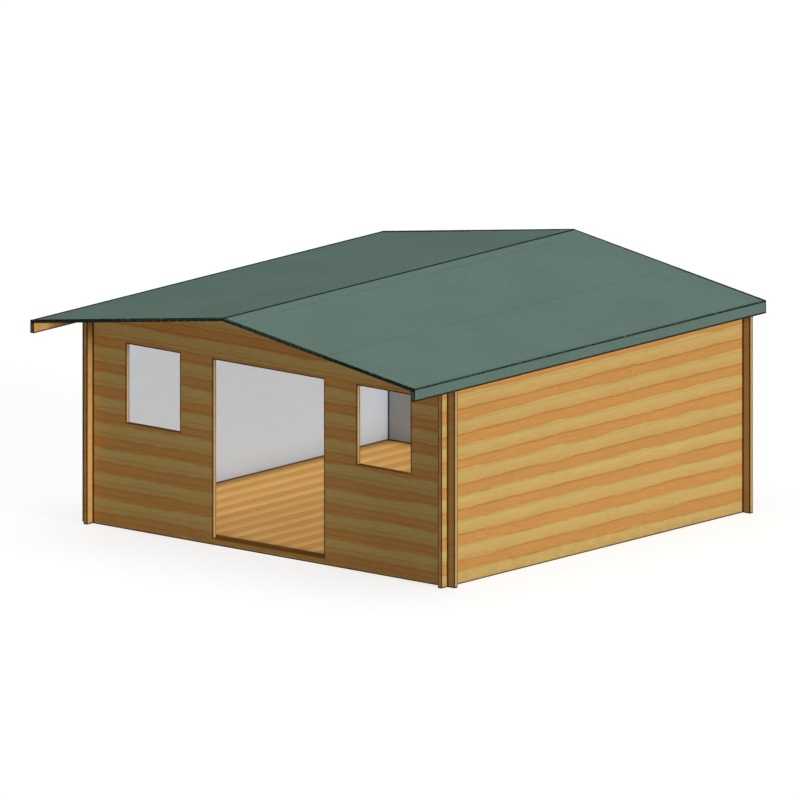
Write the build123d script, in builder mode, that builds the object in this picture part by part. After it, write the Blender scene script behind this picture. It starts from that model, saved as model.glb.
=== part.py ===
"""A log cabin with an apex roof, built from interlocking machined logs.

The frame has +X to the right as seen from the front, +Y to the back and +Z up.
The origin is on the ground, under the middle of the roof.
"""
from build123d import *

import math
import os
from typing import NamedTuple

# Walls, measured over their outside faces
wall_width = 4560.0
wall_depth = 4500.0
courses_over_lintel = 1
log_height = 124.0
log_thickness = 44.0
log_overhang = 92.0
log_bevel = 5.0
tongue_width = 12.0
tongue_height = 8.0
tongue_clearance = 0.5
notch_clearance = 0.25
notch_share = 0.25
sill_log_share = 0.5

# Openings in the front wall
door_width = 1413.0
window_width = 682.0
window_centre = 1470.0
head_height = 1849.0
window_sill_course = 8

# Floor
joist_width = 44.0
joist_height = 65.0
joist_count = 8
floor_thickness = 19.0
floor_gap = 2.0

# Roof
roof_pitch = 8.5
eaves_overhang = 168.0
front_overhang = 697.0
back_overhang = 110.0
deck_thickness = 19.0
felt_thickness = 3.0
eaves_board_thickness = 44.0
eaves_drop = 118.0
ridge_purlin_width = 70.0
side_purlin_width = 44.0
purlin_depth = 120.0
purlin_seat = 22.0
side_purlin_place = 1140.0
pocket_clearance = 0.25

# How far a cutting shape runs past the material it cuts
cut_overrun = 20.0

# Places in plan
half_width = wall_width / 2
half_depth = wall_depth / 2
roof_length = front_overhang + wall_depth + back_overhang
roof_front = -roof_length / 2
roof_back = roof_length / 2
front_face = roof_front + front_overhang
back_face = front_face + wall_depth
middle_depth = (front_face + back_face) / 2

# Heights
roof_slope = math.tan(math.radians(roof_pitch))
roof_rise_share = 1 / math.cos(math.radians(roof_pitch))
sill_height = sill_log_share * log_height
window_sill_height = sill_height + window_sill_course * log_height
deck_rise = deck_thickness * roof_rise_share
felt_rise = felt_thickness * roof_rise_share

# Courses: those of the front and back walls are counted from the log on top of the sill log
head_courses = int((head_height - sill_height) // log_height)
gable_courses = head_courses + 1 + courses_over_lintel
side_courses = gable_courses + 1
wall_top = side_courses * log_height
plate_centre = half_width - log_thickness / 2

# Notches at the corners
notch_depth = notch_share * log_height
notch_height = notch_depth + cut_overrun
notch_width = log_thickness + 2 * notch_clearance

# Stretch of a whole log along its wall, from the wall's middle
side_stretch = (-half_depth - log_overhang, half_depth + log_overhang)
gable_stretch = (-half_width - log_overhang, half_width + log_overhang)

# Each wall's elevation as seen from outside: local X to the right, Y up and Z outwards
front_wall = Plane(origin=(0, front_face, 0), x_dir=(1, 0, 0), z_dir=(0, -1, 0))
back_wall = Plane(origin=(0, back_face, 0), x_dir=(-1, 0, 0), z_dir=(0, 1, 0))
right_wall = Plane(origin=(half_width, middle_depth, 0), x_dir=(0, 1, 0), z_dir=(1, 0, 0))
left_wall = Plane(origin=(-half_width, middle_depth, 0), x_dir=(0, -1, 0), z_dir=(-1, 0, 0))


class Log(NamedTuple):
    """One log of a wall: its levels, its joints, and whether it is planed to the roof's slope."""

    low: float
    high: float
    tongue: bool = True
    groove: bool = True
    planed: bool = False


class Opening(NamedTuple):
    """A rectangle of a wall's elevation."""

    left: float
    right: float
    low: float
    high: float

    @property
    def centre(self):
        return (self.left + self.right) / 2, (self.low + self.high) / 2

    @property
    def size(self):
        return self.right - self.left, self.high - self.low


def under_roof(across):
    """Height of the underside of the roof boards at a distance from the ridge."""
    return wall_top + roof_slope * (plate_centre - abs(across))


def keep(builder, name):
    """Names a finished node and writes its file."""
    builder.part.label = name
    export_step(builder.part, f"parts/{name}.step")


def log_profile(log):
    """Outline of a log's section: X inwards from the wall's outside face, Y up from the ground."""
    middle = log_thickness / 2
    half_tongue = tongue_width / 2
    half_groove = half_tongue + tongue_clearance
    groove_top = log.low + tongue_height + tongue_clearance
    points = [(0, log.low)]
    if log.groove:
        points += [
            (middle - half_groove, log.low),
            (middle - half_groove, groove_top),
            (middle + half_groove, groove_top),
            (middle + half_groove, log.low),
        ]
    points.append((log_thickness, log.low))
    if log.planed:
        return points + [(log_thickness, under_roof(half_width - log_thickness)), (0, under_roof(half_width))]
    points.append((log_thickness, log.high))
    if log.tongue:
        points += [
            (middle + half_tongue, log.high),
            (middle + half_tongue, log.high + tongue_height),
            (middle - half_tongue, log.high + tongue_height),
            (middle - half_tongue, log.high),
        ]
    return points + [(log_bevel, log.high), (0, log.high - log_bevel)]


def section_plane(wall, start):
    """Plane of the logs' section at one end of the logs: X inwards, Y up, Z along the logs."""
    return Plane(wall.from_local_coords((start, 0, 0)), x_dir=-wall.z_dir, z_dir=wall.x_dir)


def corner_notches(logs, half_length, under=True):
    """Centres of the notches over each log, and under it, where it crosses the walls at its ends."""
    crossing = half_length - log_thickness / 2
    levels = [log.high - notch_depth + notch_height / 2 for log in logs]
    if under:
        levels += [log.low + notch_depth - notch_height / 2 for log in logs]
    return [(place, level) for place in (-crossing, crossing) for level in levels]


def roof_outline():
    """Outline, in a gable's elevation, of all that lies above the underside of the roof boards."""
    reach = half_width + log_overhang + cut_overrun
    top = under_roof(0) + log_height
    slopes = [(-reach, under_roof(reach)), (0, under_roof(0)), (reach, under_roof(reach))]
    return slopes + [(reach, top), (-reach, top)]


def lay_logs(name, wall, stretch, logs, notches=(), openings=(), under_slopes=False, pockets=()):
    """Lays the logs of one node, then cuts notches, openings, roof slopes and purlin pockets."""
    start, end = stretch
    with BuildPart() as node:
        with BuildSketch(section_plane(wall, start)):
            for log in logs:
                with BuildLine():
                    Polyline(*log_profile(log), close=True)
                make_face()
        extrude(amount=end - start)
        with BuildSketch(wall):
            if notches:
                with Locations(*notches):
                    Rectangle(notch_width, notch_height)
            for opening in openings:
                with Locations(opening.centre):
                    Rectangle(*opening.size)
            if under_slopes:
                with BuildLine():
                    Polyline(*roof_outline(), close=True)
                make_face()
        extrude(amount=log_thickness + cut_overrun, both=True, mode=Mode.SUBTRACT)
        if pockets:
            with BuildSketch(wall.offset(-log_thickness)):
                for pocket in pockets:
                    with Locations(pocket.centre):
                        Rectangle(*pocket.size)
            extrude(amount=purlin_seat, mode=Mode.SUBTRACT)
    keep(node, name)


def side_log(course):
    """One log of a side wall, the lowest being course 1."""
    low = (course - 1) * log_height
    return Log(low, low + log_height, groove=course > 1)


def gable_log(course):
    """One log of the front or back wall, course 1 lying on the sill log."""
    low = sill_height + (course - 1) * log_height
    return Log(low, low + log_height)


def side_wall(side, wall):
    """Odd and even courses of a side wall, and the log on top that the roof bears on."""
    plate = side_log(side_courses)._replace(planed=True)
    stacks = (
        ("wall_odd_courses", [side_log(course) for course in range(1, side_courses, 2)]),
        ("wall_even_courses", [side_log(course) for course in range(2, side_courses, 2)]),
        ("wall_plate", [plate]),
    )
    for name, logs in stacks:
        lay_logs(f"{side}_{name}", wall, side_stretch, logs, corner_notches(logs, half_depth))


def purlin_pockets():
    """Housings for the purlin ends in the inside face of a gable."""
    places = (
        (0, ridge_purlin_width),
        (-side_purlin_place, side_purlin_width),
        (side_purlin_place, side_purlin_width),
    )
    pockets = []
    for centre, width in places:
        half = width / 2 + pocket_clearance
        low = under_roof(centre) - purlin_depth
        pockets.append(Opening(centre - half, centre + half, low, low + purlin_depth + cut_overrun))
    return pockets


def sill_log(name, wall, openings=()):
    """Half-height log that the front or back wall stands on."""
    log = Log(0, sill_height, groove=False)
    notches = corner_notches([log], half_width, under=False)
    lay_logs(name, wall, gable_stretch, [log], notches, openings)


def gable(side, wall):
    """The three logs that close a gable under the roof, with housings for the purlins."""
    lower = gable_log(gable_courses + 1)._replace(tongue=False)
    middle = gable_log(gable_courses + 2)._replace(tongue=False, groove=False)
    top = middle._replace(low=middle.high, high=under_roof(0) + log_bevel)
    pieces = (
        ("lower", lower, corner_notches([lower], half_width)),
        ("middle", middle, ()),
        ("top", top, ()),
    )
    for place, log, notches in pieces:
        name = f"{side}_gable_{place}_log"
        lay_logs(name, wall, gable_stretch, [log], notches, under_slopes=True, pockets=purlin_pockets())


def front_openings():
    """The doorway and the two windows of the front wall."""
    half_window = window_width / 2
    windows = [
        Opening(centre - half_window, centre + half_window, window_sill_height, head_height)
        for centre in (-window_centre, window_centre)
    ]
    return [Opening(-door_width / 2, door_width / 2, sill_height, head_height)] + windows


def front():
    """Front wall: logs left and right of the doorway, the lintel over it and the gable."""
    openings = front_openings()
    sill_log("front_sill_log", front_wall, openings)
    jamb = door_width / 2
    stretches = (("left", (gable_stretch[0], -jamb)), ("right", (jamb, gable_stretch[1])))
    for side, stretch in stretches:
        for parity, first in (("odd", 1), ("even", 2)):
            logs = [gable_log(course) for course in range(first, head_courses + 1, 2)]
            notches = corner_notches(logs, half_width)
            lay_logs(f"front_{side}_{parity}_courses", front_wall, stretch, logs, notches, openings)
    lintel = [gable_log(head_courses + 1)]
    upper = [gable_log(course) for course in range(head_courses + 2, gable_courses + 1)]
    for name, logs in (("front_lintel_log", lintel), ("front_upper_log", upper)):
        lay_logs(name, front_wall, gable_stretch, logs, corner_notches(logs, half_width), openings)
    gable("front", front_wall)


def back():
    """Back wall: a plain wall with the same courses and gable as the front."""
    sill_log("back_sill_log", back_wall)
    for parity, first in (("odd", 1), ("even", 2)):
        logs = [gable_log(course) for course in range(first, gable_courses + 1, 2)]
        notches = corner_notches(logs, half_width)
        lay_logs(f"back_wall_{parity}_courses", back_wall, gable_stretch, logs, notches)
    gable("back", back_wall)


def floor():
    """Joists across the cabin, and the boarded floor on them."""
    inside_width = wall_width - 2 * log_thickness
    inside_depth = wall_depth - 2 * log_thickness
    pitch = (inside_depth - joist_width) / (joist_count - 1)
    with BuildPart() as joists:
        with BuildSketch(Plane.XY):
            with Locations((0, middle_depth)):
                with GridLocations(0, pitch, 1, joist_count):
                    Rectangle(inside_width, joist_width)
        extrude(amount=joist_height)
    keep(joists, "floor_joists")
    with BuildPart() as boards:
        with BuildSketch(Plane.XY.offset(joist_height)):
            with Locations((0, middle_depth)):
                Rectangle(inside_width - 2 * floor_gap, inside_depth - 2 * floor_gap)
        extrude(amount=floor_thickness)
    keep(boards, "floor_boards")


def roof_section(at):
    """Plane of the roof's cross-section: X to the right, Y up, Z towards the front."""
    return Plane(origin=(0, at, 0), x_dir=(1, 0, 0), z_dir=(0, -1, 0))


def purlins():
    """Ridge purlin and one purlin under each slope, housed in the gables."""
    seat_back = back_face - log_thickness + purlin_seat
    span = wall_depth - 2 * (log_thickness - purlin_seat)
    half = ridge_purlin_width / 2
    foot = under_roof(0) - purlin_depth
    with BuildPart() as ridge:
        with BuildSketch(roof_section(seat_back)):
            with BuildLine():
                Polyline(
                    (-half, foot),
                    (half, foot),
                    (half, under_roof(half)),
                    (0, under_roof(0)),
                    (-half, under_roof(half)),
                    close=True,
                )
            make_face()
        extrude(amount=span)
    keep(ridge, "ridge_purlin")
    for side, sign in (("left", -1), ("right", 1)):
        near = side_purlin_place - side_purlin_width / 2
        far = side_purlin_place + side_purlin_width / 2
        foot = under_roof(side_purlin_place) - purlin_depth
        with BuildPart() as purlin:
            with BuildSketch(roof_section(seat_back)):
                with BuildLine():
                    Polyline(
                        (sign * near, foot),
                        (sign * far, foot),
                        (sign * far, under_roof(far)),
                        (sign * near, under_roof(near)),
                        close=True,
                    )
                make_face()
            extrude(amount=span)
        keep(purlin, f"{side}_purlin")


def roof_slope_pieces(side, sign):
    """One slope of the roof: boards, eaves board, and the felt folded over their edges."""
    outside = half_width + eaves_overhang
    edge = outside - felt_thickness
    eaves_foot = under_roof(outside) + deck_rise + felt_rise - eaves_drop
    inner_edge = edge - eaves_board_thickness
    boards_length = roof_length - 2 * felt_thickness
    boards_back = roof_back - felt_thickness
    deck_outline = [
        (0, under_roof(0)),
        (sign * edge, under_roof(edge)),
        (sign * edge, under_roof(edge) + deck_rise),
        (0, under_roof(0) + deck_rise),
    ]
    eaves_outline = [
        (sign * inner_edge, eaves_foot),
        (sign * edge, eaves_foot),
        (sign * edge, under_roof(edge)),
        (sign * inner_edge, under_roof(inner_edge)),
    ]
    for name, outline in (("roof_boards", deck_outline), ("eaves_board", eaves_outline)):
        with BuildPart() as piece:
            with BuildSketch(roof_section(boards_back)):
                with BuildLine():
                    Polyline(*outline, close=True)
                make_face()
            extrude(amount=boards_length)
        keep(piece, f"{side}_{name}")
    sheet_outline = [
        (0, under_roof(0) + deck_rise),
        (sign * edge, under_roof(edge) + deck_rise),
        (sign * edge, eaves_foot),
        (sign * outside, eaves_foot),
        (sign * outside, under_roof(outside) + deck_rise + felt_rise),
        (0, under_roof(0) + deck_rise + felt_rise),
    ]
    with BuildPart() as felt:
        with BuildSketch(roof_section(roof_back)):
            with BuildLine():
                Polyline(*sheet_outline, close=True)
            make_face()
        extrude(amount=roof_length)
        for fold in (roof_back, roof_front + felt_thickness):
            for outline in (deck_outline, eaves_outline):
                with BuildSketch(roof_section(fold)):
                    with BuildLine():
                        Polyline(*outline, close=True)
                    make_face()
                extrude(amount=felt_thickness)
    keep(felt, f"{side}_roof_felt")


def main():
    os.makedirs("parts", exist_ok=True)
    floor()
    side_wall("left", left_wall)
    side_wall("right", right_wall)
    back()
    front()
    purlins()
    roof_slope_pieces("left", -1)
    roof_slope_pieces("right", 1)


main()
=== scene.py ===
import math
from functools import reduce

import bmesh
import bpy
import numpy as np
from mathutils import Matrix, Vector


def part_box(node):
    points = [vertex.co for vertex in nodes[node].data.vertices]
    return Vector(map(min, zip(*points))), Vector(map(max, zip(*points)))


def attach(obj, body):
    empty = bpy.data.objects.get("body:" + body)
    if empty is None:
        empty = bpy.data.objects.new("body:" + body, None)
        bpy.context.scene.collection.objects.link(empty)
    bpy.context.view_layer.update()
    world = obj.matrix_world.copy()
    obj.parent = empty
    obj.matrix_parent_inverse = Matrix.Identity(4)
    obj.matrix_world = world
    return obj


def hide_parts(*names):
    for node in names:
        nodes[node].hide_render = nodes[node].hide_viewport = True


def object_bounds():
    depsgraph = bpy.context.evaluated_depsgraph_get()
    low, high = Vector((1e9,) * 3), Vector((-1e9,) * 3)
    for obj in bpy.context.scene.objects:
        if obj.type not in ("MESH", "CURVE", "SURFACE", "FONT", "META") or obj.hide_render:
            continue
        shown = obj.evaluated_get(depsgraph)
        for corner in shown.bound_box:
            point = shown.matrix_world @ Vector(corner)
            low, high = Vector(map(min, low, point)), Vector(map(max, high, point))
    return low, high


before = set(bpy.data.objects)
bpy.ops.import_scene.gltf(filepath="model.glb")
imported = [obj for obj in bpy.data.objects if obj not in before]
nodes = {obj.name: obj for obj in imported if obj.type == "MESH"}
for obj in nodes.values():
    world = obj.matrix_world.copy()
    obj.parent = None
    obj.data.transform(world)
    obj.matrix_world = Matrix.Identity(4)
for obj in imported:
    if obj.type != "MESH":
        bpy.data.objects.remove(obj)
cadLow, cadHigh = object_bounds()
scene = bpy.context.scene
scene.view_settings.view_transform = "Standard"
print("frame loaded:", len(nodes), "CAD nodes")

# Places read from the CAD nodes, in metres
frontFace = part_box("front_lintel_log")[0].y
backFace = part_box("back_wall_odd_courses")[1].y
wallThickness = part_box("front_lintel_log")[1].y - frontFace
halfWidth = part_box("right_wall_plate")[1].x
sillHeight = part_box("front_left_odd_courses")[0].z
roofFront, roofBack = cadLow.y, cadHigh.y
roofEdge = cadHigh.x
ridgeTop = cadHigh.z
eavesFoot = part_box("right_roof_felt")[0].z
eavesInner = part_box("right_eaves_board")[0].x
middleY = (frontFace + backFace) / 2
halfDepth = (backFace - frontFace) / 2
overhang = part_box("front_lintel_log")[1].x - halfWidth
doorHalf = -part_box("front_left_odd_courses")[1].x
floorLow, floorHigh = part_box("floor_boards")
joistLow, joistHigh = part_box("floor_joists")
deckLow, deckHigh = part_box("right_roof_boards")

# Sizes that the boxes don't give, in metres
cabin = {
    "logHeight": 0.124,
    "roofPitch": math.radians(8.5),
    "windowCentre": 1.47,
    "windowHalf": 0.341,
    "windowSill": 1.054,
    "openingHead": 1.849,
    "sillStrip": 0.009,  # thickness of the strip on the log under each opening
    "joistWidth": 0.044,
    "joistCount": 8,
}
roofSlope = math.tan(cabin["roofPitch"])
eavesTop = ridgeTop - roofSlope * roofEdge
deckThickness = deckHigh.z - deckLow.z - roofSlope * deckHigh.x
roomHalfX = halfWidth - wallThickness
roomHalfY = halfDepth - wallThickness


def srgb(red, green, blue):  # a colour picked as 0 to 255, made linear
    share = np.array((red, green, blue)) / 255
    linear = np.where(share <= 0.04045, share / 12.92, ((share + 0.055) / 1.055) ** 2.4)
    return (*linear.tolist(), 1.0)


# Short ways to write shader nodes: a socket is linked, any other value is set
def addNode(tree, kind, inputs=(), **settings):
    node = tree.nodes.new(kind)
    for name, value in settings.items():
        setattr(node, name, value)
    for key, value in inputs.items() if isinstance(inputs, dict) else enumerate(inputs):
        if isinstance(value, bpy.types.NodeSocket):
            tree.links.new(value, node.inputs[key])
        else:
            node.inputs[key].default_value = value
    return node


def maths(tree, operation, *values):
    return addNode(tree, "ShaderNodeMath", values, operation=operation).outputs[0]


def chain(tree, operation, values):
    return reduce(lambda total, value: maths(tree, operation, total, value), values)


def plus(tree, *values):
    return chain(tree, "ADD", values)


def minus(tree, first, second):
    return maths(tree, "SUBTRACT", first, second)


def times(tree, *values):
    return chain(tree, "MULTIPLY", values)


def strongest(tree, *masks):
    return chain(tree, "MAXIMUM", masks)


def absolute(tree, value):
    return maths(tree, "ABSOLUTE", value)


def apart(tree, first, second):  # how far one value is from another
    return absolute(tree, minus(tree, first, second))


def swing(tree, value, amount):  # a value from 0 to 1 made to swing round zero
    return maths(tree, "MULTIPLY_ADD", value, amount, -amount / 2)


def ease(tree, value, low, high):  # smooth step from 0 at low to 1 at high
    values = {"Value": value, "From Min": low, "From Max": high}
    node = addNode(tree, "ShaderNodeMapRange", values, interpolation_type="SMOOTHSTEP")
    return node.outputs["Result"]


def lineAt(tree, value, place, width):  # a soft line along a place on one axis
    return ease(tree, apart(tree, value, place), width, 0.5 * width)


def mixColour(tree, factor, first, second, blend="MIX"):
    values = {0: factor, 6: first, 7: second}  # the mix node's colour sockets
    return addNode(tree, "ShaderNodeMix", values, data_type="RGBA", blend_type=blend).outputs[2]


def mixValue(tree, factor, first, second):
    values = {0: factor, 2: first, 3: second}  # the mix node's value sockets
    return addNode(tree, "ShaderNodeMix", values).outputs[0]


def vectorOf(tree, x, y, z):
    return addNode(tree, "ShaderNodeCombineXYZ", (x, y, z)).outputs[0]


def lengthOf(tree, x, y):  # distance from the origin of a plane
    spot = vectorOf(tree, x, y, 0.0)
    return addNode(tree, "ShaderNodeVectorMath", (spot,), operation="LENGTH").outputs["Value"]


def brighten(tree, colour, value):  # colour x value
    return mixColour(tree, 1.0, colour, vectorOf(tree, value, value, value), "MULTIPLY")


def darken(tree, colour, mask, amount):  # colour x (1 - amount x mask)
    return brighten(tree, colour, maths(tree, "MULTIPLY_ADD", mask, -amount, 1.0))


def noise(tree, place, waves, detail=2.0):  # waves in a metre on each axis
    scaled = addNode(tree, "ShaderNodeVectorMath", (place, waves), operation="MULTIPLY").outputs[0]
    values = {"Vector": scaled, "Scale": 1.0, "Detail": detail}
    return addNode(tree, "ShaderNodeTexNoise", values).outputs[0]


def sway(tree, place, waves, amount):  # noise that swings round zero
    return swing(tree, noise(tree, place, waves), amount)


def cellsOf(tree, place, scale):  # distance to the middle of a cell, and the cell's own key
    cells = addNode(tree, "ShaderNodeTexVoronoi", {"Vector": place, "Scale": scale}).outputs
    return cells["Distance"], addNode(tree, "ShaderNodeSeparateColor", (cells["Color"],)).outputs[0]


def objectPlace(tree):
    return addNode(tree, "ShaderNodeTexCoord").outputs["Object"]


def axes(tree):
    return addNode(tree, "ShaderNodeSeparateXYZ", (objectPlace(tree),)).outputs


def faceNormal(tree):
    normal = addNode(tree, "ShaderNodeNewGeometry").outputs["True Normal"]
    return addNode(tree, "ShaderNodeSeparateXYZ", (normal,)).outputs


def randomOf(tree, *keys):
    values = {"Vector": vectorOf(tree, *keys)}
    return addNode(tree, "ShaderNodeTexWhiteNoise", values).outputs["Value"]


def newGroup(name, inputs, outputs):
    tree = bpy.data.node_groups.new(name, "ShaderNodeTree")
    for labels, way in ((inputs, "INPUT"), (outputs, "OUTPUT")):
        for label in labels:
            tree.interface.new_socket(name=label, in_out=way, socket_type="NodeSocketFloat")
    given, result = tree.nodes.new("NodeGroupInput"), tree.nodes.new("NodeGroupOutput")
    return tree, given.outputs, result.inputs


def useGroup(tree, group, values):
    return addNode(tree, "ShaderNodeGroup", values, node_tree=group).outputs


grainLook = {
    "seedShift": 61.0,  # metres of grain between one board and the next
    "knotCells": 5.2,  # places in a metre where a knot may sit
    "knotFree": 0.85,  # share of those places that stay clear
    "knotThrough": 0.4,  # how fast a knot changes with depth
    "knotEdge": (0.062, 0.036),  # from clear wood to full knot, in cells
    "swellEdge": (0.34, 0.0),
    "swell": 0.018,  # how far the rings bend round a knot
    "pithAcross": 0.1,  # range of the pith's place across the board
    "pithDepth": 0.07,
    "pithVaries": 0.05,
    "longWarp": ((0.8, 3.0, 1.0), 0.05),  # waves in a metre on each axis, and how far rings move
    "shortWarp": ((3.2, 16.0, 16.0), 0.008),
    "ringGap": 0.0062,
    "latePower": 2.2,  # the higher, the narrower the dark part of a ring
    "ringEnd": (1.0, 0.9),
    "checkTurn": 0.19,  # half the angle from one drying check to the next
    "checkEdge": (0.014, 0.004),
    "checkWarp": ((0.0, 60.0, 60.0), 0.05),
    "checkWaves": (0.0, 22.0, 22.0),  # a check runs only where this noise is high
    "checkEnd": (0.5, 0.62),
    "fibreWaves": (14.0, 380.0, 380.0),
    "cloudWaves": (1.7, 9.0, 1.0),
    "mottleWaves": (11.0, 46.0, 9.0),
    "detail": 3.0,
}


# Solid timber: growth rings round a pith that lies off the board, warped along the board and
# swelling round a few knots, with fibres, mottling, and drying checks that run out from the pith
def makeTimberGrain(look):
    tree, given, result = newGroup(
        "timberGrain", ("Along", "Across", "Depth", "Seed"),
        ("Rings", "Fibre", "Knot", "Cloud", "Mottle", "Check"),
    )
    across, depth, seed = given["Across"], given["Depth"], given["Seed"]
    shift = times(tree, seed, look["seedShift"])
    run = plus(tree, given["Along"], shift)
    board = vectorOf(tree, run, across, depth)

    through = times(tree, depth, look["knotThrough"])
    knotPlace = vectorOf(tree, run, plus(tree, across, shift), through)
    fromKnot, cellKey = cellsOf(tree, knotPlace, look["knotCells"])
    picked = maths(tree, "GREATER_THAN", cellKey, look["knotFree"])
    knot = times(tree, ease(tree, fromKnot, *look["knotEdge"]), picked)
    tree.links.new(knot, result["Knot"])
    swell = times(tree, ease(tree, fromKnot, *look["swellEdge"]), picked, look["swell"])

    pithDepth = plus(tree, times(tree, seed, look["pithVaries"]), look["pithDepth"])
    fromPithAcross = minus(tree, across, swing(tree, seed, look["pithAcross"]))
    fromPithDepth = minus(tree, depth, pithDepth)
    radius = plus(
        tree, lengthOf(tree, fromPithAcross, fromPithDepth), swell,
        sway(tree, board, *look["longWarp"]), sway(tree, board, *look["shortWarp"]),
    )
    growth = maths(tree, "FRACT", maths(tree, "DIVIDE", radius, look["ringGap"]))
    late = maths(tree, "POWER", growth, look["latePower"])
    tree.links.new(times(tree, late, ease(tree, growth, *look["ringEnd"])), result["Rings"])

    angle = plus(
        tree, maths(tree, "ARCTAN2", fromPithAcross, fromPithDepth), seed,
        sway(tree, board, *look["checkWarp"]),
    )
    crack = ease(tree, maths(tree, "PINGPONG", angle, look["checkTurn"]), *look["checkEdge"])
    crackEnd = ease(tree, noise(tree, board, look["checkWaves"]), *look["checkEnd"])
    tree.links.new(times(tree, crack, crackEnd), result["Check"])
    tree.links.new(noise(tree, board, look["fibreWaves"], look["detail"]), result["Fibre"])
    tree.links.new(noise(tree, board, look["cloudWaves"], look["detail"]), result["Cloud"])
    tree.links.new(noise(tree, board, look["mottleWaves"]), result["Mottle"])
    return tree


# Places over one band height go from 0 to 1, with the middle of the warm stretch at a half
bandLook = {
    "waver": ((1.6, 7.0, 1.0), 0.07),  # waves in a metre on each axis, and how far a band strays
    "fray": ((9.0, 38.0, 1.0), 0.026),
    "middle": 0.5,
    "warmFrom": (0.225, 0.315),
    "warmTo": (0.795, 0.715),
    "paleShift": 0.25,  # turns the pale stretch to the start of the band
    "paleEdge": (0.4, 0.0),
    "paleTone": 0.42,  # how warm the pale stretch starts
    "upperRim": 0.695,
    "upperEdge": (0.07, 0.0),
    "lowerRim": 0.33,
    "lowerEdge": (0.05, 0.0),
    "lowerShare": 0.5,
    "seamEdge": (0.0035, 0.0004),  # in metres
}


# Timber in two tones by turns: over each band height a warm stretch with wavering edges, then a
# pale one that starts warm and clears; Rim is the warm stretch's dark edges, Seam each joint's line
def makeTwoTones(look):
    tree, given, result = newGroup(
        "twoTones", ("Along", "Height", "Warm Centre", "Band", "Joint", "Board"),
        ("Tone", "Rim", "Seam", "Index"),
    )
    height, board = given["Height"], given["Board"]
    place = vectorOf(tree, given["Along"], height, 0.0)
    moved = plus(
        tree, minus(tree, height, given["Warm Centre"]),
        sway(tree, place, *look["waver"]), sway(tree, place, *look["fray"]),
    )
    bands = maths(tree, "DIVIDE", moved, given["Band"])
    turn = maths(tree, "FRACT", plus(tree, bands, look["middle"]))
    comesIn, goesOut = ease(tree, turn, *look["warmFrom"]), ease(tree, turn, *look["warmTo"])
    band = maths(tree, "MINIMUM", comesIn, goesOut)
    paleTurn = maths(tree, "FRACT", plus(tree, turn, look["paleShift"]))
    clearing = times(tree, ease(tree, paleTurn, *look["paleEdge"]), look["paleTone"])
    tree.links.new(strongest(tree, band, clearing), result["Tone"])
    upperRim = ease(tree, apart(tree, turn, look["upperRim"]), *look["upperEdge"])
    lowerRim = ease(tree, apart(tree, turn, look["lowerRim"]), *look["lowerEdge"])
    rim = strongest(tree, upperRim, times(tree, lowerRim, look["lowerShare"]))
    tree.links.new(rim, result["Rim"])
    course = maths(tree, "DIVIDE", minus(tree, height, given["Joint"]), board)
    gap = times(tree, maths(tree, "PINGPONG", course, 0.5), board)
    tree.links.new(ease(tree, gap, *look["seamEdge"]), result["Seam"])
    tree.links.new(maths(tree, "FLOOR", course), result["Index"])
    return tree


grimeLook = {"waves": (9.0, 9.0, 9.0), "detail": 4.0, "patchEdge": (0.32, 0.68)}


# Grime: patchy noise, strongest at the foot of the cabin
def makeFootGrime(look):
    tree, given, result = newGroup("footGrime", ("Height", "Reach"), ("Grime",))
    patches = noise(tree, objectPlace(tree), look["waves"], look["detail"])
    low = ease(tree, given["Height"], given["Reach"], 0.0)
    tree.links.new(times(tree, low, ease(tree, patches, *look["patchEdge"])), result["Grime"])
    return tree


granuleLook = {"crownEdge": (0.75, 0.1), "blotchWaves": (1.3, 1.3, 1.3), "blotchDetail": 5.0}


# Mineral granules on felt: small cells, each with its own tone and crown, and slow blotches
def makeFeltGranules(look):
    tree, given, result = newGroup("feltGranules", ("Grain Size",), ("Speck", "Height", "Blotch"))
    place = objectPlace(tree)
    scale = maths(tree, "DIVIDE", 1.0, given["Grain Size"])
    fromMiddle, cellKey = cellsOf(tree, place, scale)
    tree.links.new(cellKey, result["Speck"])
    tree.links.new(ease(tree, fromMiddle, *look["crownEdge"]), result["Height"])
    blotch = noise(tree, place, look["blotchWaves"], look["blotchDetail"])
    tree.links.new(blotch, result["Blotch"])
    return tree


timberGrain, twoTones = makeTimberGrain(grainLook), makeTwoTones(bandLook)
footGrime, feltGranules = makeFootGrime(grimeLook), makeFeltGranules(granuleLook)


def newMaterial(name):
    material = bpy.data.materials.new(name)
    material.use_nodes = True
    return material, material.node_tree, material.node_tree.nodes["Principled BSDF"]


# Colour, a roughness that follows a mask, and a bump
def finishSurface(tree, shader, look, colour, mask, height, bumpStrength=0.7):
    roughness = maths(tree, "MULTIPLY_ADD", mask, look["roughVaries"], look["roughness"])
    values = {"Height": height, "Strength": bumpStrength, "Distance": look["bumpDepth"]}
    bump = addNode(tree, "ShaderNodeBump", values)
    tree.links.new(colour, shader.inputs["Base Color"])
    tree.links.new(roughness, shader.inputs["Roughness"])
    tree.links.new(bump.outputs[0], shader.inputs["Normal"])
    shader.inputs["Specular IOR Level"].default_value = look["specular"]


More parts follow.
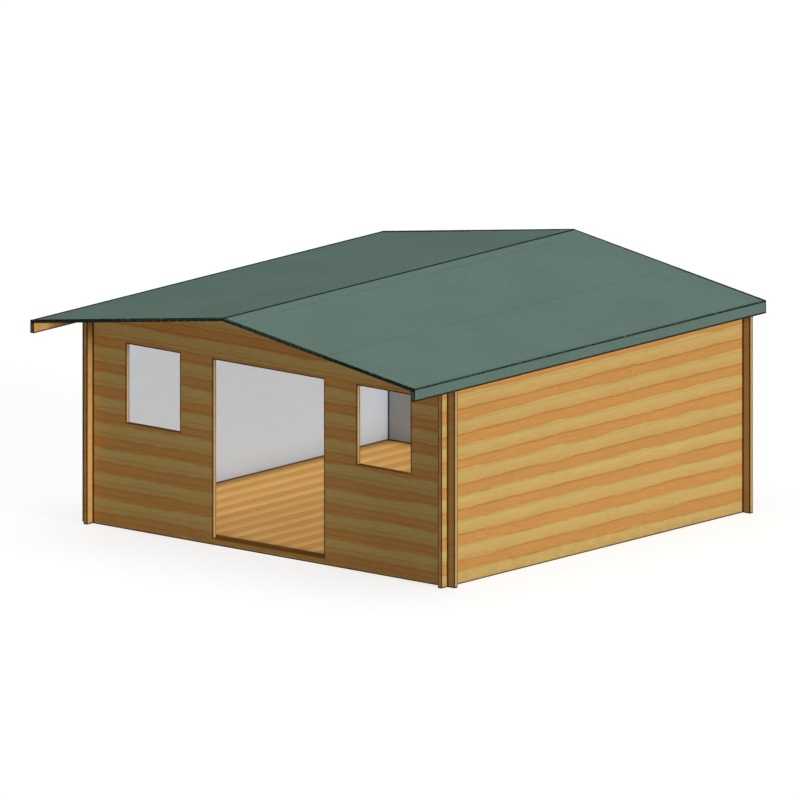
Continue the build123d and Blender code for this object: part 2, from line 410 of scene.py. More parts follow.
logLook = {
    "pale": srgb(202, 171, 102),
    "warm": srgb(199, 143, 74),
    "lateWood": srgb(150, 92, 40),
    "knot": srgb(112, 64, 30),
    "endWood": srgb(199, 160, 108),
    "endRing": srgb(140, 100, 58),
    "paint": srgb(184, 193, 202),
    "band": 0.251,  # from one warm stretch to the next
    "contrast": 1.0,  # between the two tones
    "toneMottle": 0.4,
    # how far each of these swings the brightness
    "boardTint": 0.05, "cloud": 0.14, "mottle": 0.22, "fibre": 0.24,
    # how strongly each of these shows
    "rings": 0.2, "knots": 0.55, "rims": 0.13, "seams": 0.1, "grime": 0.1, "endRings": 0.5,
    "checks": 0.5,
    "grimeReach": 0.3,
    "freshCutAndLight": 0.42,  # how much paler the wood is where an opening is cut: fresh wood and painted light on the jambs
    "lineWidth": 0.0165,  # dark lines: weathered arrises round openings and at ends, painted shade at crossings and the wall's foot
    "lineDepth": 0.87,
    "endLineWidth": 0.0078,
    "endLines": (0.001, 0.003),  # in from a log's outer and inner face
    "sillDepth": 0.8,  # how dark the weathered sill tops are
    # painted shade along the foot of the inside walls
    "floorCornerShadeWidth": 0.01815,
    "brushMarks": 0.25, "paintSeams": 0.06, "paintRelief": 0.3,
    "paintReach": 0.0006,  # past the room's faces
    "stubStart": 0.0005,  # past the side walls' faces
    "faceSkin": 0.001,  # depth that counts as the front wall's outer face
    "endFacing": (0.6, 0.9), "topFacing": (0.8, 0.95),  # how squarely a face looks that way
    "fibreRelief": 0.6, "ringRelief": 0.4, "bumpDepth": 0.0009,
    "roughness": 0.6, "roughVaries": 0.2, "specular": 0.16,
}
# height of a warm stretch's middle; tone of the crossing ends and how far they are darkened as
# painted shade or, below zero, brightened as painted light; how much end grain shows and how far it
# is darkened as painted shade;
# share of the paint's tone, lowered as painted shade on the gable walls
sideLook = dict(
    logLook, warmCentre=0.181, stubTone=0.7, stubPaintedShade=-0.27,
    endShare=0.5, endShadeAndDirt=0.14, paintShadeFactor=1.0,
)
gableLook = dict(
    logLook, warmCentre=0.072, stubTone=0.68, stubPaintedShade=0.27,
    endShare=1.0, endShadeAndDirt=0.0, paintShadeFactor=0.73,
)


# Timber's own colour: two tones, shaded by board, cloud, mottle and fibre, then rings and knots
# and the rims of the warm stretches
def timberColour(tree, look, tone, rim, seed, grain):
    shade = plus(
        tree, 1.0, swing(tree, seed, look["boardTint"]), swing(tree, grain["Cloud"], look["cloud"]),
        swing(tree, grain["Mottle"], look["mottle"]), swing(tree, grain["Fibre"], look["fibre"]),
    )
    colour = mixColour(tree, times(tree, tone, look["contrast"]), look["pale"], look["warm"])
    colour = brighten(tree, colour, shade)
    colour = mixColour(tree, times(tree, grain["Rings"], look["rings"]), colour, look["lateWood"])
    colour = mixColour(tree, times(tree, grain["Knot"], look["knots"]), colour, look["knot"])
    return darken(tree, colour, rim, look["rims"] * look["contrast"]), shade


def endGrain(tree, look, grain):
    rings = times(tree, grain["Rings"], look["endRings"])
    return mixColour(tree, rings, look["endWood"], look["endRing"])


def relief(tree, look, grain):  # fibres stand up and late wood lies low
    fibres = times(tree, grain["Fibre"], look["fibreRelief"])
    return minus(tree, fibres, times(tree, grain["Rings"], look["ringRelief"]))


# Weathered arrises on the outer face round the doorway and windows, as lines round rectangles
def openingLines(tree, x, z, width):
    lines = []
    for centre, half, low in (
        (0.0, doorHalf, sillHeight),
        (cabin["windowCentre"], cabin["windowHalf"], cabin["windowSill"]),
    ):
        foot, head = low + cabin["sillStrip"], cabin["openingHead"]
        sideways = minus(tree, apart(tree, absolute(tree, x), centre), half)
        upright = minus(tree, apart(tree, z, (foot + head) / 2), (head - foot) / 2)
        lines.append(lineAt(tree, strongest(tree, sideways, upright), 0.0, width))
    return strongest(tree, *lines)


# Wall logs: tones by course, solid grain, ring arcs on the sawn ends, pale paint inside the room
def wallLogs(name, runsAlongX, joint, look):
    material, tree, shader = newMaterial(name)
    x, y, z = axes(tree)
    acrossX, acrossY = absolute(tree, x), apart(tree, y, middleY)
    along, reach, corner = (x, acrossX, halfWidth) if runsAlongX else (y, acrossY, halfDepth)
    depth = minus(tree, halfDepth, acrossY) if runsAlongX else minus(tree, halfWidth, acrossX)
    tones = useGroup(tree, twoTones, {
        "Along": along, "Height": z, "Warm Centre": look["warmCentre"], "Band": look["band"],
        "Joint": joint, "Board": cabin["logHeight"],
    })
    wallKey = maths(tree, "SIGN", y if runsAlongX else x)
    seed = randomOf(tree, tones["Index"], wallKey, maths(tree, "SIGN", x))
    courseMiddle = times(tree, plus(tree, tones["Index"], 0.5), cabin["logHeight"])
    across = minus(tree, minus(tree, z, joint), courseMiddle)
    grain = useGroup(tree, timberGrain, {
        "Along": along, "Across": across, "Depth": depth, "Seed": seed,
    })

    # the crossing ends keep one warm tone where they stand clear of the corner
    withinX = maths(tree, "LESS_THAN", acrossX, roomHalfX + look["paintReach"])
    withinY = maths(tree, "LESS_THAN", acrossY, roomHalfY + look["paintReach"])
    room = times(tree, withinX, withinY)
    if runsAlongX:
        stub = maths(tree, "GREATER_THAN", acrossX, halfWidth + look["stubStart"])
    else:
        stub = times(tree, withinX, maths(tree, "GREATER_THAN", acrossY, halfDepth))
    tone = plus(tree, tones["Tone"], swing(tree, grain["Mottle"], look["toneMottle"]))
    tone = mixValue(tree, stub, tone, look["stubTone"])
    rim = times(tree, tones["Rim"], minus(tree, 1.0, stub))
    colour, shade = timberColour(tree, look, tone, rim, seed, grain)
    # painted shade on the gable logs' crossing ends; below zero it is painted light on the side
    # logs' ends
    colour = darken(tree, colour, stub, look["stubPaintedShade"])

    # sawn ends: paler wood with clear rings and a few checks, palest where an opening is cut,
    # partly as painted light on the jambs
    normal = faceNormal(tree)
    end = ease(tree, absolute(tree, normal[0 if runsAlongX else 1]), *look["endFacing"])
    endColour = darken(tree, endGrain(tree, look, grain), grain["Check"], look["checks"])
    opened = maths(tree, "LESS_THAN", reach, roomHalfX)
    endColour = darken(tree, endColour, opened, -look["freshCutAndLight"])
    colour = mixColour(tree, times(tree, end, look["endShare"]), colour, endColour)
    # painted shade: the side logs' front and back ends darkened
    colour = darken(tree, colour, end, look["endShadeAndDirt"])
    grime = useGroup(tree, footGrime, {"Height": z, "Reach": look["grimeReach"]})["Grime"]
    colour = darken(tree, colour, grime, look["grime"])
    colour = darken(tree, colour, tones["Seam"], look["seams"])

    # dark lines where logs end and are cut for openings, painted shade where logs cross and along
    # the wall's foot, and dark sills
    width = look["lineWidth"]
    crossings = (corner - wallThickness, corner, corner + overhang)
    lines = [lineAt(tree, reach, place, width) for place in crossings]
    if runsAlongX:
        onFront = maths(tree, "LESS_THAN", y, frontFace + look["faceSkin"])
        lines.append(times(tree, openingLines(tree, x, z, width), onFront))
        inFront = maths(tree, "LESS_THAN", y, frontFace + wallThickness)
        sill = times(tree, ease(tree, normal[2], *look["topFacing"]), inFront)
        colour = darken(tree, colour, sill, look["sillDepth"])
    lines = times(tree, strongest(tree, *lines), minus(tree, 1.0, end))
    outer, inner = look["endLines"]
    arrises = (outer, wallThickness - inner)
    endLines = [lineAt(tree, depth, place, look["endLineWidth"]) for place in arrises]
    endLines = times(tree, strongest(tree, *endLines), end)
    lines = strongest(tree, lines, endLines, lineAt(tree, z, 0.0, width))
    colour = darken(tree, colour, lines, look["lineDepth"])

    # paint inside, with the joints just showing, and painted shade in the inner corners and along
    # the floor
    brushed = maths(tree, "MULTIPLY_ADD", shade, look["brushMarks"], 1 - look["brushMarks"])
    # on the gable walls the paint is darkened as painted shade
    painted = brighten(tree, look["paint"], times(tree, brushed, look["paintShadeFactor"]))
    painted = darken(tree, painted, tones["Seam"], look["paintSeams"])
    floorCornerShade = lineAt(tree, z, floorHigh.z, look["floorCornerShadeWidth"])
    painted = darken(tree, painted, strongest(tree, lines, floorCornerShade), look["lineDepth"])
    colour = mixColour(tree, room, colour, painted)
    height = minus(tree, relief(tree, look, grain), times(tree, end, grain["Check"]))
    height = times(tree, height, mixValue(tree, room, 1.0, look["paintRelief"]))
    finishSurface(tree, shader, look, colour, grain["Fibre"], height)
    return material


sideLogs = wallLogs("side_wall_logs", False, 0.0, sideLook)
gableLogs = wallLogs("gable_wall_logs", True, sillHeight, gableLook)
print("wall logs: two materials")

# What all sawn pieces share; each adds its axes, tones and board width
sawnLook = dict(
    logLook, toneMottle=0.3, mottle=0.16, fibre=0.22, rings=0.22, knots=0.6, rims=0.1,
    roughVaries=0.18, endFacing=(0.9, 0.99), seedKey=7.0,
)


# Sawn timber for joists, purlins, roof boards, eaves boards, sill strips and floor
def sawnTimber(name, look):
    material, tree, shader = newMaterial(name)
    axis = axes(tree)
    along, across, depth = (axis[i] for i in look["axes"])
    toneAlong, toneAcross = (axis[i] for i in look["toneAxes"])
    tones = useGroup(tree, twoTones, {
        "Along": toneAlong, "Height": toneAcross, "Warm Centre": look["warmCentre"],
        "Band": look["band"], "Joint": look["joint"], "Board": look["board"],
    })
    fromJoint = minus(tree, across, look["joint"])
    boardKey = maths(tree, "FLOOR", maths(tree, "DIVIDE", fromJoint, look["board"]))
    seed = randomOf(tree, boardKey, maths(tree, "SIGN", axis[0]), look["seedKey"])
    grain = useGroup(tree, timberGrain, {
        "Along": along, "Across": across, "Depth": depth, "Seed": seed,
    })
    tone = plus(tree, tones["Tone"], swing(tree, grain["Mottle"], look["toneMottle"]))
    colour, _ = timberColour(tree, look, tone, tones["Rim"], seed, grain)
    height = relief(tree, look, grain)
    if "nails" in look:  # sunk heads, two in each board over every joist
        nails = look["nails"]
        overJoist = maths(tree, "PINGPONG", minus(tree, along, nails["first"]), nails["gap"] / 2)
        fromEdge = maths(tree, "PINGPONG", fromJoint, look["board"] / 2)
        away = lengthOf(tree, overJoist, minus(tree, fromEdge, nails["inset"]))
        head = ease(tree, away, nails["radius"], nails["sunkRadius"])
        colour = darken(tree, colour, head, nails["dirt"])
        height = minus(tree, height, head)
    if "foot" in look:  # a damp line along the lower edge
        damp = lineAt(tree, axis[2], look["foot"], look["footWidth"])
        colour = darken(tree, colour, damp, look["footDirt"])
    normal = faceNormal(tree)
    if "topDirt" in look:  # trodden and rained on
        colour = darken(tree, colour, ease(tree, normal[2], *look["topFacing"]), look["topDirt"])
    end = ease(tree, absolute(tree, normal[look["axes"][0]]), *look["endFacing"])
    colour = mixColour(tree, end, colour, endGrain(tree, look, grain))
    colour = darken(tree, colour, end, look["endShadeAndDirt"])
    finishSurface(tree, shader, look, colour, grain["Fibre"], height)
    return material


def newPiece(name, points, faces, material):
    mesh = bpy.data.meshes.new(name)
    mesh.from_pydata(np.reshape(points, (-1, 3)).tolist(), [], faces)
    shell = bmesh.new()
    shell.from_mesh(mesh)
    bmesh.ops.recalc_face_normals(shell, faces=shell.faces)
    shell.to_mesh(mesh)
    shell.free()
    mesh.materials.append(material)
    piece = bpy.data.objects.new(name, mesh)
    scene.collection.objects.link(piece)
    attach(piece, "root")
    return piece


# Faces from four grids of point numbers, one grid for each corner in turn
def gridFaces(*corners):
    return np.stack(corners, -1).reshape(-1, 4)


# Closed tubes from points in tubes, rings and corners: walls between rings, a cap at each end
def tubeFaces(points):
    index = np.arange(points.size // 3).reshape(points.shape[:3])
    following = np.roll(index, -1, axis=2)
    walls = gridFaces(index[:, :-1], following[:, :-1], following[:, 1:], index[:, 1:])
    caps = np.concatenate((index[:, 0, ::-1], index[:, -1]))
    return walls.tolist() + caps.tolist()


# A board field: one section repeated side by side and carried along a path,
# point = path + across x (place + section) + up x section
def layBoards(name, path, acrossAxis, upAxis, places, section, material):
    path, section = np.array(path), np.array(section)
    acrossAxis, upAxis = np.array(acrossAxis), np.array(upAxis)
    spot = places[:, None, None, None] + section[None, None, :, :1]
    points = path[None, :, None, :] + spot * acrossAxis + section[None, None, :, 1:] * upAxis
    return newPiece(name, points, tubeFaces(points), material)


floorLook = dict(
    sawnLook, axes=(1, 0, 2), toneAxes=(1, 0), warmCentre=0.055,
    count=36, gap=0.0008, bevel=0.0016,
    pale=srgb(202, 168, 98), warm=srgb(196, 142, 74),
    boardTint=0.06, roughness=0.55, specular=0.05, endShadeAndDirt=0.72,
    nails={"inset": 0.026, "radius": 0.0032, "sunkRadius": 0.00192, "dirt": 0.65},
)
floorLook["board"] = (floorHigh.x - floorLow.x) / floorLook["count"]
floorLook["joint"] = floorLow.x
joistRun = joistHigh.y - joistLow.y - cabin["joistWidth"]
floorLook["nails"]["first"] = joistLow.y + cabin["joistWidth"] / 2
floorLook["nails"]["gap"] = joistRun / (cabin["joistCount"] - 1)


# A board's section, its two upper arrises eased
def easedBoard(wide, thick, cut):
    upper = [(wide, thick - cut), (wide - cut, thick), (cut, thick), (0, thick - cut)]
    return [(0, 0), (wide, 0), *upper]


# Floor boards side by side
def floorBoards(look):
    section = easedBoard(look["board"] - look["gap"], floorHigh.z - floorLow.z, look["bevel"])
    places = floorLow.x + look["gap"] / 2 + look["board"] * np.arange(look["count"])
    path = [(0, floorLow.y, floorLow.z), (0, floorHigh.y, floorLow.z)]
    timber = sawnTimber("floor_timber", look)
    piece = layBoards(
        "floor_planks", path, (1, 0, 0), (0, 0, 1), places, section, timber
    )
    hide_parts("floor_boards")


floorBoards(floorLook)
print("floor boards laid")

sillLook = dict(
    sawnLook, axes=(0, 1, 2), toneAxes=(0, 1), board=0.2, joint=0.0, band=0.4, warmCentre=0.0,
    pale=srgb(155, 112, 53), warm=srgb(140, 96, 44),
    boardTint=0.1, specular=0.1, endShadeAndDirt=0.1, topDirt=0.4,
    thick=cabin["sillStrip"], bevel=0.0015, nosing=0.006, lap=0.02,
)


# Dark sill strips on the log under each window, and a stepped one that laps over the floor in
# the doorway
def sillStrips(look):
    deep, thick, cut = wallThickness, look["thick"], look["bevel"]
    riser, step, back = floorHigh.z - sillHeight, deep - look["nosing"], deep + look["lap"]
    top = riser + thick
    stepped = [
        (0, 0), (deep, 0), (deep, riser), (back, riser), (back, top - cut), (back - cut, top),
        (step + cut, top), (step, top - cut), (step, thick), (cut, thick), (0, thick - cut),
    ]
    flat = easedBoard(deep, thick, cut)
    timber, places = sawnTimber("sill_timber", look), np.array([frontFace])
    centre, half, low = cabin["windowCentre"], cabin["windowHalf"], cabin["windowSill"]
    for name, middle, reach, foot, section in (
        ("door_sill_strip", 0.0, doorHalf, sillHeight, stepped),
        ("left_window_sill_strip", -centre, half, low, flat),
        ("right_window_sill_strip", centre, half, low, flat),
    ):
        path = [(middle - reach, 0, foot), (middle + reach, 0, foot)]
        layBoards(name, path, (0, 1, 0), (0, 0, 1), places, section, timber)


sillStrips(sillLook)
print("sill strips laid")

deckLook = dict(
    sawnLook, axes=(0, 1, 2), toneAxes=(0, 1), count=60, gap=0.0006, bevel=0.004,
    pale=srgb(206, 172, 108), warm=srgb(199, 152, 88),
    contrast=0.7, boardTint=0.12, endShadeAndDirt=0.1,
)
deckLook["board"] = (deckHigh.y - deckLow.y) / deckLook["count"]
deckLook["joint"] = deckLow.y
deckLook["band"] = 2 * deckLook["board"]
deckLook["warmCentre"] = deckLow.y + 0.5 * deckLook["board"]


# Roof boards from ridge to eaves, V-jointed on the underside
def roofBoards(look):
    timber = sawnTimber("roof_board_timber", look)
    wide, cut, thick = look["board"] - look["gap"], look["bevel"], deckThickness
    section = [(0, cut), (cut, 0), (wide - cut, 0), (wide, cut), (wide, thick), (0, thick)]
    places = deckLow.y + look["gap"] / 2 + look["board"] * np.arange(look["count"])
    for side, sign in (("left", -1), ("right", 1)):
        path = [(0, 0, deckHigh.z - thick), (sign * deckHigh.x, 0, deckLow.z)]
        name = f"{side}_roof_planks"
        piece = layBoards(name, path, (0, 1, 0), (0, 0, 1), places, section, timber)
        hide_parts(f"{side}_roof_boards")


roofBoards(deckLook)
print("roof boards laid")

feltLook = {
    "green": srgb(122, 150, 139),
    "dark": srgb(92, 114, 104),
    "pale": srgb(140, 164, 152),
    "worn": srgb(27, 38, 34),  # where the granules are rubbed off along a fold
    "grainSize": 0.0026,
    "paleSpecks": (0.1, 0.5), "darkSpecks": (-0.1, -0.5),  # from none to full, by a granule's key
    "blotchEdge": (0.62, 0.3), "blotch": 0.07,
    "facing": (0.5, 0.9),  # how squarely a face looks up, sideways or along
    "wornWidth": 0.012, "wornShare": 0.95,
    "ridgeWidth": 0.026, "eavesWidth": 0.0048, "footWidth": 0.0228,
    "belowDeck": 1.1,  # deck thicknesses below the slope where the eaves board's end starts
    "eavesStainAndShade": 0.35,  # drip stain and painted shade down the eaves faces
    # painted shade on the verge faces
    "vergeShade": 0.5,
    "roughness": 0.82, "roughVaries": 0.12, "bumpDepth": 0.0012, "specular": 0.0,
    "lap": 1.3,  # an upper sheet covers the slope from the ridge to here
    "lift": 0.003,
    "ridgeReach": 0.16,
    "ridgeLift": 0.006,
    "thickness": 0.0026,
    "fold": 0.02,  # how far a sheet turns down over the verge
    "foldRadius": 0.006, "bendPoints": 6, "dropPoints": 3,
    "rows": 17, "columns": 110,
    "waves": 6, "firstWave": 1.1, "waveStep": 1.7,  # waves along a sheet's edge
    "ripple": 0.003, "ripplePower": 6,  # how far the edge strays, and how near to it that starts
    "lip": 0.0006, "lipWave": 3, "lipPower": 8,  # how far the edge lifts
    "seeds": {"left": 10, "right": 12, "ridge": 5},
}


def mineralFelt(look):
    material, tree, shader = newMaterial("mineral_felt")
    granules = useGroup(tree, feltGranules, {"Grain Size": look["grainSize"]})
    speck = minus(tree, granules["Speck"], 0.5)
    colour = mixColour(tree, ease(tree, speck, *look["paleSpecks"]), look["green"], look["pale"])
    colour = mixColour(tree, ease(tree, speck, *look["darkSpecks"]), colour, look["dark"])
    blotch = ease(tree, granules["Blotch"], *look["blotchEdge"])
    colour = darken(tree, colour, blotch, look["blotch"])

    # folds: on top by plan, on the eaves by height, on the verges by the drop below the slope
    x, y, z = axes(tree)
    normal = faceNormal(tree)
    onTop = ease(tree, normal[2], *look["facing"])
    onEaves = ease(tree, absolute(tree, normal[0]), *look["facing"])
    onVerge = ease(tree, absolute(tree, normal[1]), *look["facing"])
    fromRidge, fromMiddle = absolute(tree, x), absolute(tree, y)
    drop = minus(tree, ridgeTop, plus(tree, z, times(tree, fromRidge, roofSlope)))
    width = look["wornWidth"]
    topFolds = lineAt(tree, fromRidge, 0.0, look["ridgeWidth"])
    eavesFolds = strongest(
        tree, lineAt(tree, z, eavesTop, look["eavesWidth"]),
        lineAt(tree, z, eavesFoot, look["footWidth"]), lineAt(tree, fromMiddle, roofBack, width),
    )
    boardEnd = ease(tree, drop, deckThickness, look["belowDeck"] * deckThickness)
    vergeFolds = strongest(
        tree, lineAt(tree, drop, 0.0, width), lineAt(tree, drop, deckThickness, width),
        lineAt(tree, fromRidge, roofEdge, width), lineAt(tree, z, eavesFoot, width),
        times(tree, lineAt(tree, fromRidge, eavesInner, width), boardEnd),
    )
    worn = strongest(
        tree, times(tree, topFolds, onTop), times(tree, eavesFolds, onEaves),
        times(tree, vergeFolds, onVerge),
    )
    # painted shade on the eaves and verge faces, the eaves partly drip stain
    colour = darken(tree, colour, onEaves, look["eavesStainAndShade"])
    colour = darken(tree, colour, onVerge, look["vergeShade"])
    colour = mixColour(tree, times(tree, worn, look["wornShare"]), colour, look["worn"])
    finishSurface(tree, shader, look, colour, speck, granules["Height"])
    return material


# A felt sheet: rows run down the slope, columns follow a path over the front verge, along and
# over the back verge; height = roof plane + path + a small ripple that grows to the lower edge
def feltSheet(name, felt, spanX, lift, seed, look):
    bend, flat = look["foldRadius"], np.zeros(look["dropPoints"])
    turn = np.linspace(0, math.pi / 2, look["bendPoints"])[1:]
    hang = np.linspace(-look["fold"], -bend, look["dropPoints"])
    edgeY = np.concatenate((flat, bend * (1 - np.cos(turn))))
    edgeZ = np.concatenate((hang, -bend * (1 - np.sin(turn))))
    inner = np.linspace(roofFront + bend, roofBack - bend, look["columns"])[1:-1]
    pathY = np.concatenate((roofFront - lift + edgeY, inner, (roofBack + lift - edgeY)[::-1]))
    pathZ = np.concatenate((edgeZ, np.zeros(len(inner)), edgeZ[::-1]))
    share = np.linspace(0, 1, look["rows"])[:, None]
    phases = np.random.default_rng(seed).uniform(0, 2 * math.pi, look["waves"])
    ripple = look["ripple"] * sum(
        np.sin(pathY * (look["firstWave"] + look["waveStep"] * n) + phase) / (1 + n)
        for n, phase in enumerate(phases)
    )
    x = spanX[0] + (spanX[1] - spanX[0]) * share + ripple * share ** look["ripplePower"]
    if spanX[0] * spanX[1] < 0:  # the ridge strip has a free edge on both slopes
        x = x - ripple * (1 - share) ** look["ripplePower"]
    lip = look["lip"] * (1 + np.sin(phases[0] + look["lipWave"] * pathY))
    z = ridgeTop - roofSlope * np.abs(x) + lift + pathZ + lip * share ** look["lipPower"]
    points = np.stack((x, np.broadcast_to(pathY, x.shape), z), -1)
    index = np.arange(x.size).reshape(x.shape)
    quads = gridFaces(index[:-1, :-1], index[1:, :-1], index[1:, 1:], index[:-1, 1:])
    piece = newPiece(name, points, quads.tolist(), felt)
    if piece.data.polygons[len(quads) // 2].normal.z < 0:
        piece.data.flip_normals()
    skin = piece.modifiers.new("thickness", "SOLIDIFY")
    skin.thickness, skin.offset = look["thickness"], -1.0


def dress(name, material):
    slots = nodes[name].data.materials
    slots.clear()
    slots.append(material)


felt, seeds = mineralFelt(feltLook), feltLook["seeds"]
for side, sign in (("left", -1), ("right", 1)):
    dress(f"{side}_roof_felt", felt)
    span = (0.0, sign * feltLook["lap"])
    feltSheet(f"{side}_felt_sheet", felt, span, feltLook["lift"], seeds[side], feltLook)
ridgeSpan = (-feltLook["ridgeReach"], feltLook["ridgeReach"])
feltSheet("ridge_felt_strip", felt, ridgeSpan, feltLook["ridgeLift"], seeds["ridge"], feltLook)
print("felt laid")


# A dull surface in two colours by patches, duller where the noise is high
def patchySurface(name, look):
    material, tree, shader = newMaterial(name)
    patch = noise(tree, objectPlace(tree), look["waves"], look["detail"])
    colour = mixColour(tree, ease(tree, patch, *look["patchEdge"]), look["clean"], look["soiled"])
    finishSurface(tree, shader, look, colour, patch, patch)
    return material


# Bitumen, near black with a green cast, and dusty in places
beadLook = {
    "clean": feltLook["worn"], "soiled": feltLook["dark"],
    "waves": (30.0, 30.0, 30.0), "detail": 4.0, "patchEdge": (0.5, 0.8),
    "roughness": 0.6, "roughVaries": 0.3, "bumpDepth": 0.0006, "specular": 0.05,
    "halfWidth": 0.005, "rise": 0.012, "arcPoints": 7,
    "sink": 0.002, "foot": 0.005,  # how far the arc and the flat underside lie in the felt
}


# Beads that seal the eaves and verges: a half round section carried along each edge
def feltBeads(look):
    seal, half, foot = patchySurface("bitumen", look), look["halfWidth"], look["foot"]
    arc = np.linspace(0, math.pi, look["arcPoints"])
    section = np.stack((half * np.cos(arc), look["rise"] * np.sin(arc) - look["sink"]), -1)
    section = np.concatenate((section, [(-half, -foot), (half, -foot)]))
    low = eavesTop + roofSlope * half
    path = [(0, roofFront, low), (0, roofBack, low)]
    places = np.array((half - roofEdge, roofEdge - half))
    layBoards("eaves_felt_bead", path, (1, 0, 0), (0, 0, 1), places, section, seal)
    low, high = eavesTop + feltLook["lift"], ridgeTop + feltLook["lift"]
    path = [(-roofEdge, 0, low), (0, 0, high), (roofEdge, 0, low)]
    places = np.array((roofFront + half, roofBack - half))
    layBoards("verge_felt_bead", path, (0, 1, 0), (0, 0, 1), places, section, seal)


feltBeads(beadLook)
print("felt edges sealed")

# Dull zinc, rusty in places
nailLook = {
    "clean": srgb(112, 128, 120), "soiled": srgb(92, 78, 62),
    "waves": (90.0, 90.0, 90.0), "detail": 4.0, "patchEdge": (0.5, 0.75),
    "roughness": 0.5, "roughVaries": 0.3, "bumpDepth": 0.0004, "specular": 0.2,
    "radius": 0.0052, "rise": 0.0014, "sides": 8,
    "profile": ((1.0, -0.3), (1.0, 0.35), (0.7, 1.0)),  # shares of the radius and the rise
    "gap": 0.1, "inset": 0.03,  # from one nail to the next, and from a sheet's edge
}


# The nails' rows: start, end and the way that the heads face
def nailRows(look):
    inset, lap, reach = look["inset"], feltLook["lap"], feltLook["ridgeReach"]
    low, high = roofFront + inset, roofBack - inset
    rows = []
    for sign in (-1, 1):
        slopeNormal = (sign * roofSlope, 0, 1)
        for far, lift in ((lap - inset, feltLook["lift"]), (reach - inset, feltLook["ridgeLift"])):
            top = ridgeTop - roofSlope * far + lift
            rows.append(((sign * far, low, top), (sign * far, high, top), slopeNormal))
        edge, line = sign * roofEdge, eavesFoot + inset
        rows.append(((edge, low, line), (edge, high, line), (sign, 0, 0)))
        for edge, out in ((roofFront, -1), (roofBack, 1)):
            verge, top = edge + out * feltLook["lift"], ridgeTop - 0.5 * feltLook["fold"]
            ends = (reach + inset, lap - inset)
            ends = [(sign * far, verge, top - roofSlope * far) for far in ends]
            rows.append((*ends, (0, out, 0)))
    return np.array(rows, float)


# Clout nail heads: each is a low stepped dome, point = place + ring x radius + normal x rise
def feltNails(look):
    ring = np.linspace(0, 2 * math.pi, look["sides"], endpoint=False)
    profile = np.array(look["profile"]) * (look["radius"], look["rise"])
    points = []
    for start, stop, normal in nailRows(look):
        normal = normal / np.linalg.norm(normal)
        length = np.linalg.norm(stop - start)
        run = (stop - start) / length
        side = np.cross(normal, run)
        share = np.linspace(0, 1, round(length / look["gap"]) + 1)[:, None, None, None]
        circle = np.cos(ring)[:, None] * run + np.sin(ring)[:, None] * side
        dome = profile[:, :1, None] * circle + profile[:, 1:, None] * normal
        heads = start + share * (stop - start) + dome
        points.append(heads.reshape(-1, len(profile), len(ring), 3))
    points = np.concatenate(points)
    zinc = patchySurface("dull_zinc", look)
    newPiece("felt_nails", points, tubeFaces(points), zinc)


feltNails(nailLook)
print("felt nailed down")

purlinLook = dict(
    sawnLook, axes=(1, 2, 0), toneAxes=(1, 2), board=0.6, joint=1.9, band=1.2, warmCentre=2.2,
    pale=srgb(204, 168, 104), warm=srgb(196, 150, 86),
    contrast=0.6, boardTint=0.1, endShadeAndDirt=0.1,
)
joistLook = dict(purlinLook, axes=(0, 1, 2), toneAxes=(0, 1), board=0.3, band=0.6)
eavesLook = dict(
    purlinLook, toneAxes=(2, 1), board=cabin["logHeight"], joint=0.0, band=logLook["band"],
    warmCentre=0.14, pale=srgb(216, 182, 112), warm=srgb(218, 158, 84), contrast=0.9,
    foot=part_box("left_eaves_board")[0].z, footWidth=0.02, footDirt=0.75,
)
sawnPieces = {  # by the ending of a node's name
    "purlin": sawnTimber("purlin_timber", purlinLook),
    "floor_joists": sawnTimber("joist_timber", joistLook),
    "eaves_board": sawnTimber("eaves_timber", eavesLook),
}
for name, node in nodes.items():
    if node.hide_render or name.endswith("felt"):
        continue
    logs = sideLogs if name.startswith(("left_wall", "right_wall")) else gableLogs
    sawn = [timber for ending, timber in sawnPieces.items() if name.endswith(ending)]
    dress(name, sawn[0] if sawn else logs)
print("materials set")

# what the floor sends on to the cabin, what it shows of light and shadow, and its own glow
stageLook = {"size": 120.0, "bounce": 0.25, "shadowed": 0.45, "glow": 0.745}


def seenDirectly(tree):  # rays from the camera, and those that gloss or glass would send on
    ray = addNode(tree, "ShaderNodeLightPath").outputs
    return strongest(tree, ray["Is Camera Ray"], ray["Is Glossy Ray"], ray["Is Transmission Ray"])


def greyDiffuse(tree, level):
    return addNode(tree, "ShaderNodeBsdfDiffuse", {"Color": (level, level, level, 1)}).outputs[0]


# A pale floor that reads as white to the camera and still takes the cabin's shadow
def stageFloor(look):
    half = look["size"] / 2
    mesh = bpy.data.meshes.new("studio_floor")
    corners = [(-half, -half, 0), (half, -half, 0), (half, half, 0), (-half, half, 0)]
    mesh.from_pydata(corners, [], [(0, 1, 2, 3)])
    ground = bpy.data.objects.new("studio_floor", mesh)
    scene.collection.objects.link(ground)
    material, tree, shader = newMaterial("studio_floor")
    tree.nodes.remove(shader)
    dull, lit = greyDiffuse(tree, look["bounce"]), greyDiffuse(tree, look["shadowed"])
    glow = addNode(tree, "ShaderNodeEmission", {"Strength": look["glow"]}).outputs[0]
    white = addNode(tree, "ShaderNodeAddShader", (lit, glow)).outputs[0]
    surface = addNode(tree, "ShaderNodeMixShader", (seenDirectly(tree), dull, white)).outputs[0]
    tree.links.new(surface, tree.nodes["Material Output"].inputs["Surface"])
    mesh.materials.append(material)


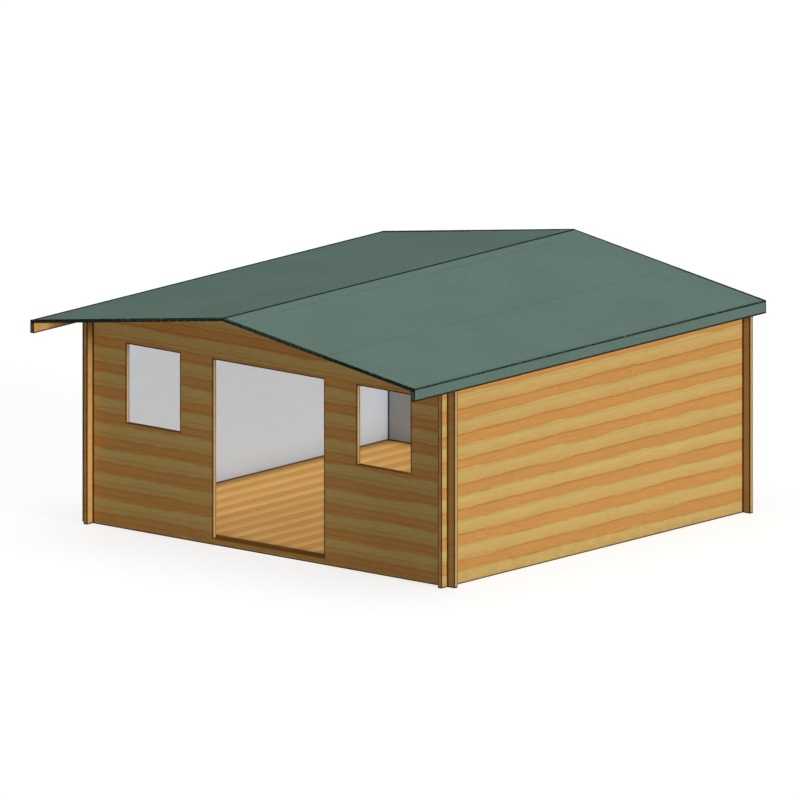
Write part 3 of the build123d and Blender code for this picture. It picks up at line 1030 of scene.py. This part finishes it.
lightLook = {
    # towards the lamp, light level on a face square to it, softness in degrees
    "suns": {
        "key": ((0.97, -0.02, 0.147), 0.44, 12),
        "side": ((0.98, -0.075, 0.035), 0.4, 4),
        "top": ((0.0, 0.0, 1.0), 0.39, 60),
        "front": ((0.1, -0.99, 0.045), 0.174, 5),
        "back": ((-0.76, 0.65, 0.04), 0.27, 4),
    },
    "sky": 0.11,
    # panels in the room: place, facing away from, width and height, watts, spread in degrees
    "panels": {
        "roomSide": ((-0.8, middleY, 1.09), (1, -0.15, 0.08), (4.3, 1.95), 21.8, 30),
        "roomTop": ((0, middleY, 1.0), (0, 0, 1), (4.36, 4.36), 39.5, 30),
    },
    # panels in the window reveals: side of the cabin and watts
    "reveals": {"leftReveal": (-1, 0.2), "rightReveal": (1, 1.0)},
    "revealInset": 0.01,
    "revealSpread": 90,
}


# Each window's panel stands just off the jamb on its right and lights the one on its left
def revealPanels(look):
    foot, head = cabin["windowSill"], cabin["openingHead"]
    for name, (sign, watts) in look["reveals"].items():
        side = sign * cabin["windowCentre"] + cabin["windowHalf"] - look["revealInset"]
        place = (side, frontFace + wallThickness / 2, (foot + head) / 2)
        panelSize = (wallThickness, head - foot)
        yield name, (place, (1, 0, 0), panelSize, watts, look["revealSpread"])


def newLamp(name, kind, towards, place=(0, 0, 0)):
    data = bpy.data.lights.new(name, kind)
    lamp = bpy.data.objects.new(name, data)
    lamp.rotation_mode = "QUATERNION"
    lamp.rotation_quaternion = Vector(towards).to_track_quat("Z", "Y")
    lamp.location = place
    lamp.visible_camera = False
    scene.collection.objects.link(lamp)
    return data


def lightUp(look):
    for name, (towards, level, softness) in look["suns"].items():
        sun = newLamp(name, "SUN", towards)
        sun.energy, sun.angle = level * math.pi, math.radians(softness)
    panels = [*look["panels"].items(), *revealPanels(look)]
    for name, (place, towards, panelSize, watts, spread) in panels:
        panel = newLamp(name, "AREA", towards, place)
        panel.shape, panel.size, panel.size_y = "RECTANGLE", *panelSize
        panel.energy, panel.spread = watts, math.radians(spread)
    world = bpy.data.worlds.new("studio")
    world.use_nodes = True
    scene.world = world
    tree = world.node_tree
    backdrop = tree.nodes["Background"].inputs
    backdrop["Color"].default_value = (1, 1, 1, 1)
    strength = mixValue(tree, seenDirectly(tree), look["sky"], 1.0)  # white where it is seen
    tree.links.new(strength, backdrop["Strength"])


cameraLook = {
    "azimuth": math.radians(40.18),
    "elevation": math.radians(12.33),
    "frameWidth": 7.788,
    "aim": (1.2796, 1.5075),  # right and up of the foot of the front wall's middle, in the picture
    "distance": 14.0,
    "clipEnd": 200,
}


def placeCamera(look):
    a, e = look["azimuth"], look["elevation"]
    right = Vector((math.cos(a), math.sin(a), 0))
    up = Vector((-math.sin(a) * math.sin(e), math.cos(a) * math.sin(e), math.cos(e)))
    back = right.cross(up)
    data = bpy.data.cameras.new("camera")
    data.type, data.ortho_scale, data.clip_end = "ORTHO", look["frameWidth"], look["clipEnd"]
    camera = bpy.data.objects.new("camera", data)
    camera.rotation_mode = "QUATERNION"
    camera.rotation_quaternion = back.to_track_quat("Z", "Y")
    aim = Vector((0, frontFace, 0)) + right * look["aim"][0] + up * look["aim"][1]
    camera.location = aim + back * look["distance"]
    scene.collection.objects.link(camera)
    scene.camera = camera


stageFloor(stageLook)
lightUp(lightLook)
placeCamera(cameraLook)
print("floor, lights and camera set")
